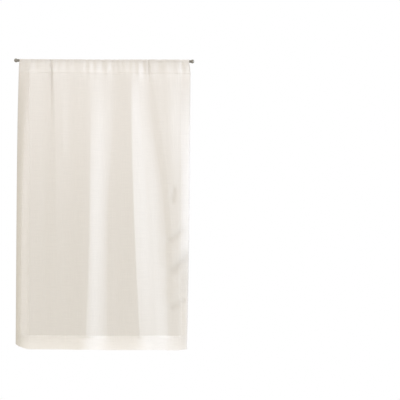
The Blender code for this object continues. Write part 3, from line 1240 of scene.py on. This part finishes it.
def aimed(place, target, roll=0.0):
    """A matrix at a place that looks along -Z at a target, with +Y up in its view."""
    direction = Vector(target) - Vector(place)
    turn = direction.to_track_quat("-Z", "Y").to_matrix().to_4x4()
    return Matrix.Translation(place) @ turn @ Matrix.Rotation(roll, 4, "Z")


def add_light(name, power, size, colour, place, target):
    data = bpy.data.lights.new(name, "AREA")
    data.shape = "RECTANGLE"
    data.size, data.size_y = size
    data.energy = power
    data.color = colour
    light = bpy.data.objects.new(name, data)
    bpy.context.scene.collection.objects.link(light)
    light.matrix_world = aimed(place, target)


# The room's glow from the left and from the right
LEFT_TINT = (0.88, 0.836, 0.722, 1)
RIGHT_TINT = (1.12, 1.053, 0.985, 1)


def white_to_camera(tree, lit, white, output):
    """Shows the camera plain white in place of a lit surface or sky."""
    path = add_node(tree, "ShaderNodeLightPath")
    inputs = {0: path.outputs["Is Camera Ray"], 1: lit, 2: white}
    mix = add_node(tree, "ShaderNodeMixShader", inputs)
    feed(tree, output, {"Surface": mix.outputs["Shader"]})


def white_room(ambient):
    """A world that is white behind the curtain and lights it with a warmer, weaker glow."""
    world = bpy.data.worlds.new("white_room")
    world.use_nodes = True
    tree = world.node_tree
    place = add_node(tree, "ShaderNodeTexCoord").outputs["Generated"]
    split = add_node(tree, "ShaderNodeSeparateXYZ", {"Vector": place})
    to_right = math_node(tree, "MULTIPLY_ADD", split.outputs["X"], 0.5, 0.5)
    tint = mix_colours(tree, to_right, LEFT_TINT, RIGHT_TINT)
    glow = tree.nodes["Background"]
    feed(tree, glow, {"Color": tint, "Strength": ambient})
    white = add_node(tree, "ShaderNodeBackground", {"Color": (1, 1, 1, 1)})
    lit, plain = glow.outputs["Background"], white.outputs["Background"]
    white_to_camera(tree, lit, plain, tree.nodes["World Output"])
    bpy.context.scene.world = world


def white_floor_material():
    material, tree, shader = new_material("white_floor")
    feed(tree, shader, {"Base Color": (0.8, 0.78, 0.74, 1), "Roughness": 0.9})
    white = add_node(tree, "ShaderNodeEmission").outputs["Emission"]
    white_to_camera(tree, shader.outputs["BSDF"], white, tree.nodes["Material Output"])
    return material


class CURTAIN_OT_stage(Operator):
    """Add the pale floor, the soft light and the camera"""

    bl_idname = "curtain.stage"
    bl_label = "Stage"

    def execute(self, context):
        settings = context.scene.curtain_stage
        scene = context.scene
        scene.view_settings.view_transform = "Standard"
        deselect_all()
        bpy.ops.mesh.primitive_circle_add(
            vertices=64,
            radius=40,
            fill_type="NGON",
            location=(0, 0, CLOTH_LOW[2] - settings.floor_drop),
        )
        floor = context.object
        floor.name = "floor"
        floor.data.materials.append(white_floor_material())
        white_room(settings.ambient)
        add_light(
            "window",
            settings.key_power,
            size=(2.0, 3.0),
            colour=(0.66, 0.78, 1.0),
            place=(7.0, -0.35, 0.3),
            target=(0, 0, -1.0),
        )
        add_light(
            "ceiling",
            settings.fill_power,
            size=(3.0, 0.5),
            colour=(0.85, 0.84, 0.97),
            place=(0, -0.8, 0.25),
            target=(0, -0.8, -1),
        )
        data = bpy.data.cameras.new("camera")
        data.sensor_width = SENSOR
        data.lens = SENSOR * settings.camera_distance / PICTURE_WIDTH
        camera = bpy.data.objects.new("camera", data)
        scene.collection.objects.link(camera)
        place = (PICTURE_X, -settings.camera_distance, PICTURE_Z)
        camera.matrix_world = aimed(place, (PICTURE_X, 0, PICTURE_Z), PICTURE_ROLL)
        scene.camera = camera
        return {"FINISHED"}


class CURTAIN_PT_panel(Panel):
    """The curtain's pieces, in the order in which they are made"""

    bl_idname = "CURTAIN_PT_panel"
    bl_label = "Sheer Curtain"
    bl_space_type = "VIEW_3D"
    bl_region_type = "UI"
    bl_category = "Curtain"

    def draw(self, context):
        for operator in OPERATORS:
            self.layout.operator(operator.bl_idname)


OPERATORS = (CURTAIN_OT_cloth, CURTAIN_OT_seams, CURTAIN_OT_hardware, CURTAIN_OT_stage)
SETTINGS = {
    "curtain_cloth": ClothSettings,
    "curtain_seams": SeamSettings,
    "curtain_hardware": HardwareSettings,
    "curtain_stage": StageSettings,
}


def register():
    for group in SETTINGS.values():
        bpy.utils.register_class(group)
    for name, group in SETTINGS.items():
        setattr(bpy.types.Scene, name, PointerProperty(type=group))
    for operator in OPERATORS:
        bpy.utils.register_class(operator)
    bpy.utils.register_class(CURTAIN_PT_panel)


def unregister():
    bpy.utils.unregister_class(CURTAIN_PT_panel)
    for operator in reversed(OPERATORS):
        bpy.utils.unregister_class(operator)
    for name in SETTINGS:
        delattr(bpy.types.Scene, name)
    for group in SETTINGS.values():
        bpy.utils.unregister_class(group)


def main():
    register()
    bpy.ops.curtain.cloth()
    bpy.ops.curtain.seams()
    bpy.ops.curtain.hardware()
    bpy.ops.curtain.stage()


if __name__ == "__main__":
    main()
